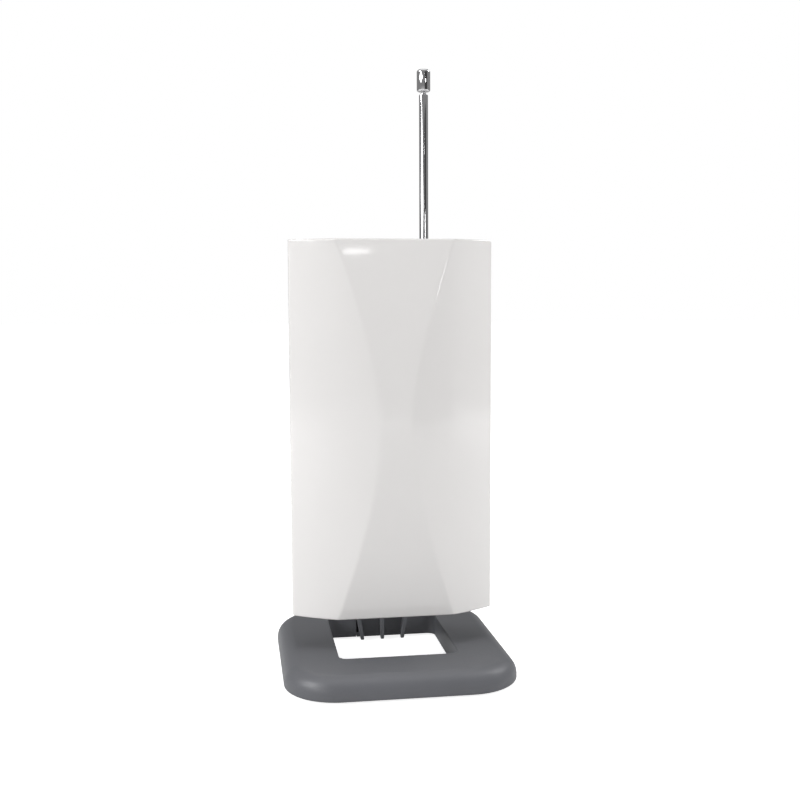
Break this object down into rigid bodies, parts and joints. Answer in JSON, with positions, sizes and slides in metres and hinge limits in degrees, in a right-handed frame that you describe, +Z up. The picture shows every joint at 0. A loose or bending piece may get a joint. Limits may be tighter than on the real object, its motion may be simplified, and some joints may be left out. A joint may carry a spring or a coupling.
{
  "type": "indoor television antenna",
  "caption": "Indoor television antenna: a white faceted panel on an open grey base frame, with a chrome telescopic rod that swivels and folds behind the panel.",
  "frame": {"origin": "on the floor, under the centre of the base frame", "axes": "+Z up, +X to the right when seen from the front, +Y towards the back of the antenna"},
  "size_m": [0.139, 0.15, 0.369],
  "materials": {
    "panel_white": "high gloss, moulded",
    "rear_white": "satin, moulded",
    "base_grey": "satin, fine moulded grain",
    "bush_grey": "satin",
    "rod_chrome": "bright chrome plate",
    "swivel_metal": "nickel plate",
    "screw_steel": "zinc plate",
    "spring_steel": "plain spring steel",
    "plate_steel": "zinc-plated sheet",
    "element_tin": "tinned sheet",
    "can_tin": "tinned sheet",
    "socket_nickel": "nickel plate",
    "tag_brass": "plain brass",
    "board_green": "solder mask",
    "ferrite": "sintered ferrite",
    "insulator": "plain moulded",
    "foot_rubber": "matt"
  },
  "bodies": {
    "stand": {"base_frame": "base_grey", "base_plate": "plate_steel", "rubber_feet": "foot_rubber", "plate_screws": "screw_steel", "neck": "base_grey", "neck_foot_screws": "screw_steel", "neck_head_screws": "screw_steel", "front_cover": "panel_white", "rear_cover": "rear_white", "cover_screws": "screw_steel", "circuit_housing": "rear_white", "housing_screws": "screw_steel", "uhf_element": "element_tin", "signal_board": "board_green", "shield_can": "can_tin", "balun_core": "ferrite", "board_screws": "screw_steel", "coax_socket": "socket_nickel", "socket_insulator": "insulator", "socket_washer": "socket_nickel", "socket_nut": "socket_nickel", "swivel_bush": "bush_grey", "contact_tag": "tag_brass"},
    "swivel": {"swivel_post": "swivel_metal", "spring_washer": "spring_steel", "swivel_screw": "screw_steel", "fold_pin": "swivel_metal"},
    "rod_1": {"rod_root": "rod_chrome", "rod_tube_1": "rod_chrome"},
    "rod_2": {"rod_tube_2": "rod_chrome"},
    "rod_3": {"rod_tube_3": "rod_chrome"},
    "rod_4": {"rod_tube_4": "rod_chrome"},
    "rod_5": {"rod_core": "rod_chrome", "tip_cap": "rod_chrome"}
  },
  "joints": [
    {"name": "rod_swivel", "type": "hinge", "parent": "stand", "child": "swivel", "pos_m": [0.0245, 0.01521, 0.195], "axis": [0, 0, 1], "range_deg": [-90, 90]},
    {"name": "rod_fold", "type": "hinge", "parent": "swivel", "child": "rod_1", "pos_m": [0.0245, 0.01521, 0.20155], "axis": [-1, 0, 0], "range_deg": [0, 90]},
    {"name": "slide_1", "type": "slide", "parent": "rod_1", "child": "rod_2", "axis": [0, 0, 1], "range_m": [0, 0.13]},
    {"name": "slide_2", "type": "slide", "parent": "rod_2", "child": "rod_3", "axis": [0, 0, 1], "range_m": [0, 0.13]},
    {"name": "slide_3", "type": "slide", "parent": "rod_3", "child": "rod_4", "axis": [0, 0, 1], "range_m": [0, 0.13]},
    {"name": "slide_4", "type": "slide", "parent": "rod_4", "child": "rod_5", "axis": [0, 0, 1], "range_m": [0, 0.13]}
  ]
}
